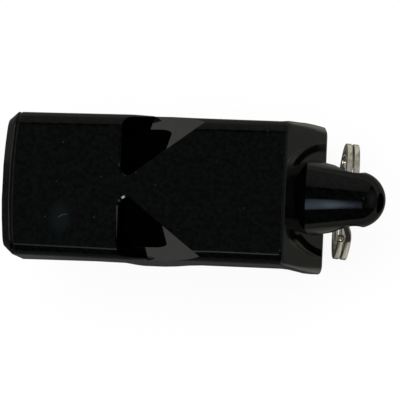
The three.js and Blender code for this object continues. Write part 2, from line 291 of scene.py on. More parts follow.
body = block("body", (0, -body_width / 2, 0), (body_length, body_width / 2, height))
shape(body)
for x in stations:
    slice_across((x, 0, 0), ALONG)
for y in bow_lines:
    slice_across((0, y, 0), ACROSS)
slice_across((0, 0, belly_level), UPWARD)
for x in [0.0, *stations, body_length]:
    pick(body, "VERT", lambda v: near(v.co.x, x))
    bpy.ops.transform.resize(value=(1, 2 * half_width_at(x) / body_width, 1), center_override=(x, 0, 0))
    pick(body, "VERT", lambda v: near(v.co.x, x) and near(v.co.z, height))
    move(z=top_at(x) - height)
    pick(body, "VERT", lambda v: near(v.co.x, x) and v.co.z < belly_level + TOUCH)
    move(z=underside_at(x))
for x in [0.0, *mouth_stations]:
    for y in [0.0, *bow_lines, -body_width / 2, body_width / 2]:
        across = y * half_width_at(x) / (body_width / 2)
        pick(body, "VERT", lambda v: near(v.co.x, x) and near(v.co.y, across))
        move(x=bow_at(x, across))
for x in [0.0, *stations, body_length]:
    for side in (-1, 1):
        edge_place = Vector((x, side * half_width_at(x), belly_level + underside_at(x)))
        edge_place.x += bow_at(x, edge_place.y) if x < mouth_length else 0.0
        pick(body, "VERT", lambda v: (v.co - edge_place).length < belly_reach)
        move(y=side * belly_at(x))
object_mode()
report(body, "body block")

# %% Body edges
top_radius = 2.15
bottom_radius = 1.4
rear_edge_radius = 0.5
tail_corner_radius = 0.6
edge_segments = 10
side_reach = 0.05
face_reach = 0.15
most_across = 0.3
least_upright = 0.95


def outer(v):
    return abs(v.co.y) > half_width_at(v.co.x) - side_reach


def on_top(v):
    return v.co.z > top_at(v.co.x) - face_reach


def on_underside(v):
    return v.co.z < underside_at(v.co.x) + face_reach


def at_rear(v):
    return near(v.co.x, body_length)


def at_rear_top(v):
    return near(v.co.x, rear_top) and on_top(v)


def runs_along(edge):
    way = edge.verts[1].co - edge.verts[0].co
    return abs(way.y) < most_across * way.length


def stands(edge):
    way = edge.verts[1].co - edge.verts[0].co
    return abs(way.z) > least_upright * way.length


def weigh(name, test, radius):
    picked = pick(body, "EDGE", test)
    bpy.ops.transform.edge_bevelweight(value=radius / top_radius)
    print(f"  {name}: {picked} edges at radius {radius}")


def both(edge, test):
    return all(test(v) for v in edge.verts)


shape(body)
weigh("top sides", lambda e: both(e, on_top) and both(e, outer) and runs_along(e), top_radius)
weigh("bottom sides", lambda e: both(e, on_underside) and both(e, outer) and runs_along(e), bottom_radius)
weigh("tail corners", lambda e: both(e, at_rear) and both(e, outer) and stands(e), tail_corner_radius)
weigh("tail foot", lambda e: both(e, at_rear) and both(e, on_underside) and not stands(e), bottom_radius)
weigh("rear top", lambda e: both(e, at_rear_top), rear_edge_radius)
object_mode()
apply_modifier(
    body, "BEVEL", width=top_radius, segments=edge_segments, limit_method="WEIGHT", use_clamp_overlap=False,
)
report(body, "rounded body")

# %% [markdown]
# ## Lip
# The mouth end is cut off at an angle all round, which also takes the corners off in plan, and the cut's
# edges are barely rounded. Just behind it runs a fine groove, where the teeth hold the whistle. The points
# that were sliced for the groove's middle are drawn in along the normals. Faces that are no longer flat are
# then split, because the later cuts need flat faces.

# %% Lip
lip_cut = 1.2
lip_round = 0.08
groove_depth = 0.15
lip_reach = 0.05
groove_reach = 0.03
flat_limit = math.radians(0.05)

soften(body, lambda p: p.x < mouth_bow + lip_reach, lip_cut, 1)
soften(body, lambda p: p.x < bow_at(0, p.y) + lip_cut + lip_reach, lip_round)
shape(body)
pick(body, "VERT", lambda v: near(v.co.x, groove_station + bow_at(groove_station, v.co.y), groove_reach))
bpy.ops.transform.shrink_fatten(value=-groove_depth)
bpy.ops.mesh.select_all(action="SELECT")
bpy.ops.mesh.vert_connect_nonplanar(angle_limit=flat_limit)
object_mode()
report(body, "lip cut and groove drawn in")

# %% [markdown]
# ## Tail knob
# The knob is a cone that runs into a round nose. Half a sphere gives the nose. Its open rim is extruded back
# along the tangent cone, which keeps the outline smooth, and then from a fine step into the body, where the
# two are joined.
# The eye for the ring and the shallow pit where the moulding was fed are then cut into it. The eye's cutter
# is a spool, because the real eye flares to both sides so that the ring's wire lies softly. Knob and spool
# are turned by half a facet, so that no corner lies on the plane where the two shells part.

# %% Tail knob
knob_root_radius = 5.25
nose_radius = 4.15
nose_centre = nose_tip - nose_radius
nose_middle = Vector((nose_centre, 0, parting))
knob_sides = 96
half_facet = math.pi / knob_sides
eye_radius = 2.2
flare_from = 4.0
flare_radius = 1.6
flare_step = 0.2
flare_outs = [flare_step * k for k in range(7)]
pit_radius = 1.5
pit_side = -0.5
pit_squash = 0.6
pit_depth = 0.7
pit_angle = math.radians(31)
cone_run = nose_centre - body_length
root_reach = math.hypot(knob_root_radius, cone_run)
cone_angle = math.acos(nose_radius / root_reach) - math.atan2(cone_run, knob_root_radius)
rim_station = nose_centre + nose_radius * math.sin(cone_angle)
rim_radius = nose_radius * math.cos(cone_angle)
collar_station = 43.6
collar_step = 0.12
knob_inset = 1.0


def cone_radius(x):
    return rim_radius + (rim_station - x) * math.tan(cone_angle)


def cylinder(name, radius, depth, place, turn, squash=1.0):
    object_mode()
    bpy.ops.mesh.primitive_cylinder_add(
        vertices=knob_sides, radius=radius, depth=depth, location=place, rotation=turn, scale=(squash, 1, 1),
    )
    return added(name)


def flare_share(out):
    return (eye_radius + flare_radius - math.sqrt(flare_radius**2 - out**2)) / eye_radius


def widen_spool(share):
    bpy.ops.transform.resize(value=(share, 1, share), center_override=eye)


def spool(name):
    cutter = cylinder(name, eye_radius, 3 * knob_root_radius, eye, (math.pi / 2, half_facet, 0))
    shape(cutter)
    for out in flare_outs:
        for side in (-1, 1):
            slice_across((0, side * (flare_from + out), 0), ACROSS)
    for out in flare_outs[1:]:
        pick(cutter, "VERT", lambda v: near(abs(v.co.y), flare_from + out))
        widen_spool(flare_share(out))
    pick(cutter, "VERT", lambda v: abs(v.co.y) > flare_from + flare_outs[-1] + TOUCH)
    widen_spool(flare_share(flare_outs[-1]))
    object_mode()
    return cutter


def push_rim(run):
    bpy.ops.mesh.extrude_region_move(TRANSFORM_OT_translate={"value": (run, 0, 0)})


def spread_rim(share):
    bpy.ops.transform.resize(value=(1, share, share), center_override=(collar_station, 0, parting))


object_mode()
bpy.ops.mesh.primitive_uv_sphere_add(
    segments=knob_sides, ring_count=knob_sides // 2, radius=nose_radius,
    location=nose_middle, rotation=(0, math.pi / 2, 0),
)
knob = added("knob")
shape(knob)
bpy.ops.mesh.select_all(action="SELECT")
bpy.ops.transform.rotate(value=half_facet, orient_axis="X", center_override=nose_middle)
slice_across((rim_station, 0, 0), ALONG, clear_inner=True)
pick(knob, "EDGE", lambda e: e.is_boundary)
push_rim(collar_station - rim_station)
spread_rim(cone_radius(collar_station) / rim_radius)
push_rim(0)
spread_rim(1 - collar_step / cone_radius(collar_station))
push_rim(rear_top + knob_inset - collar_station)
bpy.ops.mesh.edge_face_add()
object_mode()
carve(body, knob, "UNION")
carve(body, spool("eye"))
pit_place = Vector((math.cos(pit_angle), pit_side / nose_radius, math.sin(pit_angle))) * nose_radius
pit_place += nose_middle
pit_turn = (0, math.pi / 2 - pit_angle, 0)
carve(body, cylinder("pit", pit_radius, 2 * pit_depth, pit_place, pit_turn, pit_squash))
report(body, "body with knob, eye and pit")

# %% [markdown]
# ## Two shells
# The body is parted on the plane through the eye, and each half is hollowed with a plain block whose rear
# face leans like the outside. The lower chamber's front climbs behind the third blown edge.

# %% Part the body
side_wall = 1.8
roof_wall = 2.0
floor_wall = 1.8
rear_wall = 2.6
mouth_floor = mouth_underside + 2.0
inner_half = body_width / 2 - side_wall
inner_roof = height - roof_wall
overcut = 1.0


def inner_rear(z):
    return rear_top + (height - z) / rear_slope - rear_wall / math.sin(math.atan(rear_slope))


def at_roof(v):
    return near(v.co.z, inner_roof)


def half_of(name, low, high):
    half = copy_of(body, name)
    carve(half, block("half_space", (-overcut, -tail_width, low), (nose_tip + overcut, tail_width, high)))
    return half


upper = half_of("upper_shell_moulding", -height, parting)
lower = half_of("lower_shell_moulding", parting, 2 * height)
bpy.data.objects.remove(body)

inner_round = 0.6
hollow_end = inner_rear(parting - overcut)
hollow = block("hollow", (-overcut, -inner_half, parting - overcut), (hollow_end, inner_half, inner_roof))
shape(hollow)
pick(hollow, "VERT", lambda v: v.co.x > 0 and at_roof(v))
move(x=inner_rear(inner_roof) - hollow_end)
pick(hollow, "EDGE", lambda e: both(e, at_roof) and near(abs(middle(e).y), inner_half))
bpy.ops.mesh.bevel(offset=inner_round, segments=6, affect="EDGES")
object_mode()
carve(upper, hollow)
report(upper, "upper shell")

# %% Hollow the lower shell
lower_reach = 6.6
lower_ramp = math.radians(35)
lower_labium = mouth_length + lower_reach
ledge = parting - 1.2
fit_gap = 0.3
tongue_wall = 0.9
tongue_top = parting + 1.6
throat_half = inner_half - fit_gap - tongue_wall


def chamber(name, half, top):
    climb_start = lower_labium + floor_wall / math.sin(lower_ramp)
    climb_end = climb_start + (mouth_floor - floor_wall) / math.tan(lower_ramp)
    room = block(name, (mouth_length - overcut, -half, mouth_floor), (inner_rear(parting), half, top))
    shape(room)
    slice_across((climb_start, 0, 0), ALONG)
    slice_across((climb_end, 0, 0), ALONG)
    pick(room, "VERT", lambda v: v.co.x > climb_end - TOUCH and near(v.co.z, mouth_floor))
    move(z=floor_wall - mouth_floor)
    object_mode()
    return room


tongue = block("tongue", (mouth_length + fit_gap, fit_gap - inner_half, ledge),
               (inner_rear(tongue_top) - fit_gap, inner_half - fit_gap, tongue_top))
carve(lower, block("mouth", (-overcut, -inner_half, mouth_floor), (mouth_length, inner_half, height)))
carve(lower, chamber("wide_chamber", inner_half, ledge))
carve(lower, tongue, "UNION")
carve(lower, chamber("throat", throat_half, height))
report(lower, "lower shell")

# %% [markdown]
# ## Windows and blown edges
# Each upper window is a wedge in plan. Its straight wall closes the mouthpiece and its long side runs out
# through the flank. As far as a sill the floor is deep and a thin rim is left at the flank. Past the sill, a
# shallow ramp climbs to the blown edge and on to the flank. So each window is cut in two: a deep well with a
# rounded corner, and a wedge of air above the ramp. Both start as the same block, pulled to the wedge's plan.

# %% Upper windows
neck_width = 2.9
neck_length = 1.25
inner_setback = 0.7
window_run = 12.8
window_depth = 4.0
floor_fall = 4.5
rim_taper = 0.32
rim_half = 10.05
well_corner_round = 1.5
neck_corner_round = 0.75
apex_round = 0.5
sill_reach = 3.8
labium_reach = 7.2
sill_lap = 0.05
labium_skew = math.radians(17)
ramp_angle = math.radians(18)
apex = mouth_length + neck_length
wedge_slope = (body_width - neck_width) / 2 / (window_run - neck_length)


def wedge_block(name, side, outer):
    half = neck_width / 2
    far = apex + (outer - half) / wedge_slope
    low_y, high_y = sorted((side * half, side * outer))
    cutter = block(name, (mouth_length, low_y, height - window_depth), (far, high_y, height + overcut))

    def is_inner(v):
        return near(v.co.y, side * half)

    shape(cutter)
    slice_across((apex, 0, 0), ALONG)
    pick(cutter, "VERT", lambda v: near(v.co.x, mouth_length) and is_inner(v))
    move(y=side * inner_setback)
    pick(cutter, "VERT", lambda v: near(v.co.x, far) and is_inner(v))
    move(y=side * (outer - half - TOUCH))
    return cutter


def round_upright(cutter, x, y, radius):
    pick(cutter, "EDGE", lambda e: all(near(v.co.x, x) and near(v.co.y, y) for v in e.verts))
    bpy.ops.mesh.bevel(offset=radius, segments=10, affect="EDGES")


def sill_plane(side, back=0.0):
    place_at = Vector((mouth_length + sill_reach - back, side * inner_half, 0))
    return place_at, Vector((math.cos(labium_skew), -side * math.sin(labium_skew), 0))


def window_well(side):
    cutter = wedge_block("window_well", side, rim_half)
    pick(cutter, "VERT", lambda v: near(v.co.z, height - window_depth) and near(v.co.y, side * rim_half))
    move(z=-floor_fall)
    rim_end = mouth_length + 2 * sill_reach
    slice_across((rim_end, 0, 0), ALONG)
    pick(cutter, "VERT", lambda v: near(v.co.x, rim_end) and near(v.co.y, side * rim_half))
    move(y=side * rim_taper)
    round_upright(cutter, mouth_length, side * rim_half, well_corner_round)
    round_upright(cutter, mouth_length, side * (neck_width / 2 + inner_setback), neck_corner_round)
    round_upright(cutter, apex, side * neck_width / 2, apex_round)
    slice_across(*sill_plane(side), clear_outer=True, use_fill=True)
    object_mode()
    return cutter


def window_ramp(side):
    cutter = wedge_block("window_ramp", side, mouth_root_width / 2 + overcut)
    slice_across(*sill_plane(side, back=sill_lap), clear_inner=True, use_fill=True)
    level = sill_plane(side)[1]
    ramp_up = Vector((0, 0, math.cos(ramp_angle))) - level * math.sin(ramp_angle)
    tip = Vector((mouth_length + labium_reach, side * inner_half, inner_roof))
    slice_across(tip, ramp_up, clear_inner=True, use_fill=True)
    object_mode()
    return cutter


for side in (1, -1):
    carve(upper, window_well(side))
    carve(upper, window_ramp(side))
report(upper, "upper shell with windows")

# %% [markdown]
# The rims of the windows are softened. At the mouthpiece the rim has a shallow cut, because lips and fingers
# meet it, and this draws a fine light line in the photograph. The cuts leave short edges behind, so faces
# that lie in one plane are dissolved into one before the bevel. The wall's faces are split where that cut
# ends, so that it stays flat up to there.

# %% Soften the windows
wall_cut = 0.3
wall_cut_depth = 0.105
wall_cut_end = 7.8
rim_round = 0.1
wall_half = 8.4
before_wall = 0.05
past_apex = 0.3
before_apex = 0.1
rim_reach = 0.02
weld_reach = 0.003
one_plane = math.radians(0.5)


def on_wall(point):
    return mouth_length - before_wall < point.x < apex + past_apex and abs(point.y) < wall_half


def on_wall_rim(point):
    return on_wall(point) and point.x < apex - before_apex and point.z > height - rim_reach


def on_wedge_rim(point):
    return apex - before_apex < point.x < mouth_length + window_run and point.z > height - rim_reach


shape(upper)
bpy.ops.mesh.select_all(action="SELECT")
bpy.ops.mesh.remove_doubles(threshold=weld_reach)
bpy.ops.mesh.dissolve_limited(angle_limit=one_plane)
for side in (-1, 1):
    pick(upper, "FACE", lambda f: any(sharp(e) and on_wall_rim(middle(e)) for e in f.edges))
    bpy.ops.mesh.bisect(plane_co=(0, side * wall_cut_end, 0), plane_no=ACROSS)
soften(upper, on_wall_rim, wall_cut, 1)
shape(upper)
pick(upper, "VERT", lambda v: on_wall(v.co) and near(v.co.z, height - wall_cut, rim_reach))
move(z=wall_cut - wall_cut_depth)
object_mode()
soften(upper, on_wedge_rim, rim_round, 5)

# %% [markdown]
# The third window is in the underside, for the lower chamber. The photograph doesn't show it, so it follows
# such whistles: one straight opening whose rear side leans back below the blown edge. A single leaning block
# cuts it, as one core pin would in the mould.

# %% Lower window
lower_window_width = 9.0


def lower_window():
    half = lower_window_width / 2
    low = (mouth_length, -half, -overcut)
    high = (lower_labium, half, mouth_floor + overcut)
    cutter = block("window_below", low, high)
    lean = 1 / math.tan(lower_ramp)
    shape(cutter)
    pick(cutter, "VERT", lambda v: near(v.co.x, lower_labium))
    move(x=-overcut * lean)
    pick(cutter, "VERT", lambda v: v.co.x > mouth_length + TOUCH and near(v.co.z, -overcut))
    move(x=(mouth_floor + 2 * overcut) * lean)
    object_mode()
    return cutter


carve(lower, lower_window())
report(lower, "lower shell with its window")

# %% [markdown]
# ## Split ring
# The ring is one flat wire wound twice, with a jog where it passes from one turn to the other and two cut
# ends beside the jog. A rounded section is spun twice round the ring's axis. Every ring of points is then
# pushed along the axis by as much as the wire has climbed there.

# %% Spin the wire
ring_outer = 17.3
wire_radial = 1.2
wire_axial = 0.86
turn_gap = 0.2
wire_round = 0.14
cut_round = 0.06
ring_turns = 2
ring_steps = 240
jog = math.radians(13)
jog_place = math.radians(-31)
ring_lean = math.radians(6.7)
ring_yaw = math.radians(4)
ring_drop = 6.98
cut_angle = math.radians(80)
mean_radius = ring_outer / 2 - wire_radial / 2
ring_sweep = ring_turns * math.tau - 2 * jog

object_mode()
bpy.ops.mesh.primitive_plane_add(size=1, location=(0, 0, mean_radius), rotation=(math.pi / 2, 0, 0))
bpy.context.active_object.scale = (wire_axial, wire_radial, 1)
wire = added("split_ring_wire")
shape(wire)
bpy.ops.mesh.select_all(action="SELECT")
bpy.ops.mesh.bevel(offset=wire_round, segments=6, affect="VERTICES")
bpy.ops.mesh.select_all(action="SELECT")
bpy.ops.mesh.delete(type="ONLY_FACE")
bpy.ops.mesh.select_all(action="SELECT")
bpy.ops.transform.rotate(value=jog, orient_axis="X", center_override=(0, 0, 0))
bpy.ops.mesh.spin(steps=ring_steps, angle=ring_sweep, center=(0, 0, 0), axis=(1, 0, 0), use_auto_merge=False)
object_mode()
report(wire, "spun wire")

# %% [markdown]
# After the spin the two turns lie in the same place, so a test by place can't tell them apart. The rings of
# points are counted along the wire instead, from its first open end, each ring being the neighbours of the
# last.

# %% Wind the wire


def rings_along(piece):
    mesh = bmesh.new()
    mesh.from_mesh(piece.data)
    ring = {v for v in mesh.verts if v.is_boundary and v.co.y > 0}
    seen = set(ring)
    rows = []
    while ring:
        rows.append({v.index for v in ring})
        ring = {e.other_vert(v) for v in ring for e in v.link_edges} - seen
        seen |= ring
    mesh.free()
    return rows


def climb(angle):
    turn = round(angle / math.tau)
    if turn in (0, ring_turns):
        level = math.floor(angle / math.tau)
    else:
        level = turn + ease(-1, 0, (angle - turn * math.tau) / (2 * jog) + 0.5)
    return ((ring_turns - 1) / 2 - level) * (wire_axial + turn_gap)


wire_rings = rings_along(wire)
shape(wire)
for step, ring in enumerate(wire_rings):
    pick(wire, "VERT", lambda v: v.index in ring)
    move(x=climb(jog + ring_sweep * step / ring_steps))
pick(wire, "EDGE", lambda e: e.is_boundary)
bpy.ops.mesh.fill_holes(sides=0)
bpy.ops.mesh.select_all(action="SELECT")
bpy.ops.mesh.normals_make_consistent(inside=False)
pick(wire, "EDGE", lambda e: sharp(e, cut_angle))
bpy.ops.mesh.bevel(offset=cut_round, segments=5, affect="EDGES")
object_mode()
hang = Matrix.Translation(eye) @ Matrix.Rotation(-ring_yaw, 4, "Z") @ Matrix.Rotation(ring_lean, 4, "Y")
take(wire)
ring_place = hang @ Matrix.Translation((0, 0, -ring_drop)) @ Matrix.Rotation(-jog_place, 4, "X")
wire.matrix_world = ring_place
bpy.ops.object.transform_apply(location=True, rotation=True, scale=True)
report(wire, f"ring of {len(wire_rings)} rings")

# %% [markdown]
# ## Into the frame
# The pieces are shrunk to metres, moved to the frame's origin and shaded smooth, with true creases kept. The
# normals are weighted by area, so that a large flat face stays flat beside a fine round.
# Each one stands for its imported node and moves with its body.

# %% Place the pieces
CREASE = math.radians(16)


def place(piece, node, body_name, slot):
    take(piece)
    piece.matrix_world = Matrix.Scale(1 / MM, 4) @ Matrix.Translation(mouth_end)
    bpy.ops.object.transform_apply(location=True, rotation=True, scale=True)
    bpy.ops.object.shade_smooth_by_angle(angle=CREASE)
    apply_modifier(piece, "WEIGHTED_NORMAL", keep_sharp=True)
    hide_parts(node)
    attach(piece, body_name)
    low = [min(v.co[k] for v in piece.data.vertices) * MM for k in range(3)]
    high = [max(v.co[k] for v in piece.data.vertices) * MM for k in range(3)]
    print(piece.name, "from", [round(n, 2) for n in low], "to", [round(n, 2) for n in high])


place(upper, "upper_shell", "whistle", "shell")
place(lower, "lower_shell", "whistle", "shell")
place(wire, "split_ring", "ring", "ring")

# %% [markdown]
# ## Black plastic
# The shells are polished black plastic. Up close it isn't one flat black: it has a faint cool tint, a fine
# moulding grain, and specks of dust that catch the light. The grain and the specks are one node group,
# because the core uses them too, with other values. The core and the collar behind the knob get a darker
# plastic almost without shine: painted shade, inside the holes and at the knob's root. The feed pit gets it
# too, for its rough broken finish and the painted shade inside it.

# %% Surface marks


def group_socket(group, name, way, kind, value=None):
    socket = group.interface.new_socket(name=name, in_out=way, socket_type=kind)
    if value is not None:
        socket.default_value = value


def math_node(nodes, links, operation, first, second):
    node = nodes.new("ShaderNodeMath")
    node.operation = operation
    for slot, value in enumerate((first, second)):
        if isinstance(value, (int, float)):
            node.inputs[slot].default_value = value
        else:
            links.new(value, node.inputs[slot])
    return node.outputs[0]


def noise_node(nodes, links, vector, scale, detail=2.0):
    node = nodes.new("ShaderNodeTexNoise")
    node.inputs["Detail"].default_value = detail
    links.new(vector, node.inputs["Vector"])
    if isinstance(scale, (int, float)):
        node.inputs["Scale"].default_value = scale
    else:
        links.new(scale, node.inputs["Scale"])
    return node.outputs["Fac"]


def map_node(nodes, links, value, low, high, to_low=0.0, to_high=1.0):
    node = nodes.new("ShaderNodeMapRange")
    node.interpolation_type = "SMOOTHSTEP"
    links.new(value, node.inputs["Value"])
    for name, number in (("From Min", low), ("From Max", high), ("To Min", to_low), ("To Max", to_high)):
        node.inputs[name].default_value = number
    return node.outputs[0]


def build_marks():
    group = bpy.data.node_groups.new("moulding_marks", "ShaderNodeTree")
    group_socket(group, "Grain Scale", "INPUT", "NodeSocketFloat", 5000.0)
    group_socket(group, "Speck Scale", "INPUT", "NodeSocketFloat", 1400.0)
    group_socket(group, "Grain", "OUTPUT", "NodeSocketFloat")
    group_socket(group, "Specks", "OUTPUT", "NodeSocketFloat")
    group_socket(group, "Haze", "OUTPUT", "NodeSocketFloat")
    nodes, links = group.nodes, group.links
    inputs = nodes.new("NodeGroupInput")
    outputs = nodes.new("NodeGroupOutput")
    place_node = nodes.new("ShaderNodeTexCoord")
    vector = place_node.outputs["Object"]
    grain = noise_node(nodes, links, vector, inputs.outputs["Grain Scale"], 3.0)
    links.new(grain, outputs.inputs["Grain"])
    cells = nodes.new("ShaderNodeTexVoronoi")
    links.new(vector, cells.inputs["Vector"])
    links.new(inputs.outputs["Speck Scale"], cells.inputs["Scale"])
    dots = map_node(nodes, links, cells.outputs["Distance"], 0.08, 0.2, 1.0, 0.0)
    chance = nodes.new("ShaderNodeSeparateColor")
    links.new(cells.outputs["Color"], chance.inputs[0])
    rare = map_node(nodes, links, chance.outputs[0], 0.93, 1.0)
    links.new(math_node(nodes, links, "MULTIPLY", dots, rare), outputs.inputs["Specks"])
    haze = noise_node(nodes, links, vector, 160.0, 4.0)
    links.new(map_node(nodes, links, haze, 0.4, 0.75), outputs.inputs["Haze"])
    return group


marks = build_marks()
print("node group:", marks.name, [item.name for item in marks.interface.items_tree])

# %% Plastic materials


def principled(name):
    material = bpy.data.materials.new(name)
    material.use_nodes = True
    tree = material.node_tree
    return material, tree.nodes, tree.links, tree.nodes["Principled BSDF"]


def blend_colour(nodes, links, share, first, second):
    node = nodes.new("ShaderNodeMix")
    node.data_type = "RGBA"
    links.new(share, node.inputs["Factor"])
    for name, value in (("A", first), ("B", second)):
        if isinstance(value, tuple):
            node.inputs[name].default_value = (*value, 1)
        else:
            links.new(value, node.inputs[name])
    return node.outputs["Result"]


mottle_dark = 0.1
mottle_light = 1.9
haze_roughness = 0.05
plastic_ior = 1.5


def plastic(name, black, dust, roughness, shine, grain_scale):
    material, nodes, links, shader = principled(name)
    surface = nodes.new("ShaderNodeGroup")
    surface.node_tree = marks
    surface.inputs["Grain Scale"].default_value = grain_scale
    mottle = map_node(nodes, links, surface.outputs["Grain"], 0.3, 0.7)
    darker = tuple(mottle_dark * part for part in black)
    lighter = tuple(mottle_light * part for part in black)
    colour = blend_colour(nodes, links, mottle, darker, lighter)
    colour = blend_colour(nodes, links, surface.outputs["Specks"], colour, dust)
    links.new(colour, shader.inputs["Base Color"])
    rough = map_node(nodes, links, surface.outputs["Haze"], 0.0, 1.0, roughness, roughness + haze_roughness)
    links.new(rough, shader.inputs["Roughness"])
    shader.inputs["IOR"].default_value = plastic_ior
    shader.inputs["Specular IOR Level"].default_value = shine
    return material


def dress(piece, material):
    piece.data.materials.clear()
    piece.data.materials.append(material)


shell_black = (0.0007, 0.0009, 0.0008)
shell_dust = (0.018, 0.019, 0.018)
shaded_core_black = (0.0003, 0.0003, 0.0003)
polished = plastic(
    "polished_black_plastic", shell_black, shell_dust, roughness=0.08, shine=0.28, grain_scale=1600.0,
)
# darker plastic almost without shine: painted shade for the core and the collar, and the pit's rough finish
shaded_and_matt = plastic("shaded_and_matt_black_plastic", shaded_core_black, shaded_core_black, roughness=0.6, shine=0.02, grain_scale=3300.0)
collar_reach = 0.05
pit_zone = nose_centre + 2
pit_reach = 0.02


# faces that get painted shade: the collar at the knob's root, and the rough, shaded feed pit
def shaded_or_matt(point):
    spot = point * MM - mouth_end
    out = math.hypot(spot.y, spot.z - parting)
    collar_radius = cone_radius(collar_station) - collar_step
    on_shaded_collar = rear_top < spot.x < collar_station + TOUCH and near(out, collar_radius, collar_reach)
    depth = nose_radius - (spot - nose_middle).length
    in_pit = spot.x > pit_zone and depth > pit_reach
    return on_shaded_collar or in_pit


for shell in (upper, lower):
    dress(shell, polished)
    shell.data.materials.append(shaded_and_matt)
    shell.active_material_index = 1
    shape(shell)
    print("matt faces:", pick(shell, "FACE", lambda f: shaded_or_matt(f.calc_center_median())))
    bpy.ops.object.material_slot_assign()
    object_mode()
# painted shade inside the holes: the core gets the darker plastic without shine
dress(frame["nodes"]["airway_core"], shaded_and_matt)
print("dressed in plastic:", upper.name, lower.name, "airway_core")

# %% [markdown]
# A painted reflection on the mouthpiece belongs to the shells alone: a bluish sheen where a lamp's soft
# reflection is painted, and in it one short curved scratch, which is wear. Both are masks made from the
# distance to a point, so they need no picture.

# %% Painted sheen and scratch
sheen_place = Vector((8.9, -4.8, height))
sheen_size = (1.8, 2.6, 3)
sheen_tint = (0.0022, 0.0034, 0.0041)
scratch_centre = Vector((9.82, -6.12, height))
scratch_radius = 1.75
scratch_middle = Vector((9.22, -4.47, height))
scratch_tint = (0.02, 0.021, 0.022)


def distance_from(nodes, links, point, stretch):
    place_node = nodes.new("ShaderNodeTexCoord")
    offset = nodes.new("ShaderNodeVectorMath")
    offset.operation = "SUBTRACT"
    links.new(place_node.outputs["Object"], offset.inputs[0])
    offset.inputs[1].default_value = (point + mouth_end) / MM
    scaled = nodes.new("ShaderNodeVectorMath")
    scaled.operation = "MULTIPLY"
    links.new(offset.outputs[0], scaled.inputs[0])
    scaled.inputs[1].default_value = [MM / size for size in stretch]
    reach = nodes.new("ShaderNodeVectorMath")
    reach.operation = "LENGTH"
    links.new(scaled.outputs[0], reach.inputs[0])
    return reach.outputs["Value"]


def sheen_and_scratch(material):
    nodes, links = material.node_tree.nodes, material.node_tree.links
    base = nodes["Principled BSDF"].inputs["Base Color"]
    sheen_distance = distance_from(nodes, links, sheen_place, sheen_size)
    # painted reflection: a soft bluish sheen mixed into the base colour where a lamp would reflect
    painted_sheen = map_node(nodes, links, sheen_distance, 0.3, 1.2, 1.0, 0.0)
    bent = distance_from(nodes, links, scratch_centre, (1, 1, 100))
    off_arc = math_node(nodes, links, "SUBTRACT", bent, scratch_radius)
    arc = map_node(nodes, links, math_node(nodes, links, "ABSOLUTE", off_arc, 0.0), 0.03, 0.11, 1.0, 0.0)
    stretch = distance_from(nodes, links, scratch_middle, (1, 1, 1))
    scratch = math_node(nodes, links, "MULTIPLY", arc, map_node(nodes, links, stretch, 0.4, 0.9, 1.0, 0.0))
    colour = blend_colour(nodes, links, painted_sheen, base.links[0].from_socket, sheen_tint)
    links.new(blend_colour(nodes, links, scratch, colour, scratch_tint), base)


# the bluish sheen is a painted reflection; the scratch is wear
sheen_and_scratch(polished)
print("worn place on the mouthpiece:", polished.name)

# %% [markdown]
# ## Nickel
# The ring is nickel plate over steel wire: bright, slightly warm, with a fine uneven wear. The faces in the
# seam between the two turns get a near-black nickel: painted shade, where the seam lies in shadow.

# %% Nickel material
nickel_bright, nickel_dull = (0.97, 0.93, 0.83), (0.82, 0.77, 0.66)
seam_shade_bright, seam_shade_dull = (0.1, 0.09, 0.07), (0.05, 0.045, 0.04)
nickel_scale = 900.0
nickel_smooth, nickel_rough = 0.08, 0.18
seam_reach = turn_gap / 2 + 0.03
seam_facing = 0.8


def nickel(name, bright, dull):
    material, nodes, links, shader = principled(name)
    place_node = nodes.new("ShaderNodeTexCoord")
    worn = noise_node(nodes, links, place_node.outputs["Object"], nickel_scale, 4.0)
    share = map_node(nodes, links, worn, 0.35, 0.7)
    links.new(blend_colour(nodes, links, share, bright, dull), shader.inputs["Base Color"])
    rough = map_node(nodes, links, worn, 0.3, 0.8, nickel_smooth, nickel_rough)
    links.new(rough, shader.inputs["Roughness"])
    shader.inputs["Metallic"].default_value = 1.0
    return material


def in_shaded_seam(face):
    spot = ring_place.inverted() @ (face.calc_center_median() * MM - mouth_end)
    way = ring_place.to_3x3().inverted() @ face.normal
    return abs(spot.x) < seam_reach and abs(way.x) > seam_facing


dress(wire, nickel("nickel_plate", nickel_bright, nickel_dull))
# painted shade: the seam between the two turns gets a near-black nickel
wire.data.materials.append(nickel("nickel_seam_shade", seam_shade_bright, seam_shade_dull))
wire.active_material_index = 1
shape(wire)
print("faces in the seam:", pick(wire, "FACE", in_shaded_seam))
bpy.ops.object.material_slot_assign()
object_mode()
print("dressed in nickel:", wire.name)

# %% [markdown]
# ## Camera
# The photograph looks almost straight down, from a little towards the near side, with a slight roll. The view
# is fixed by a target on the whistle, two small tilts, a roll and a distance.

# %% Camera
MM_TO_M = 1 / MM
photo_pixels = 400
target = (Vector((28.5, 0, 9.3)) + mouth_end) * MM_TO_M
view_distance = 0.35
tilt_near = math.radians(3.5)
tilt_tail = math.radians(5.5)
view_roll = math.radians(2.23)
pixels_per_mm = 6.836
target_pixel = Vector((203.62, 193.17))

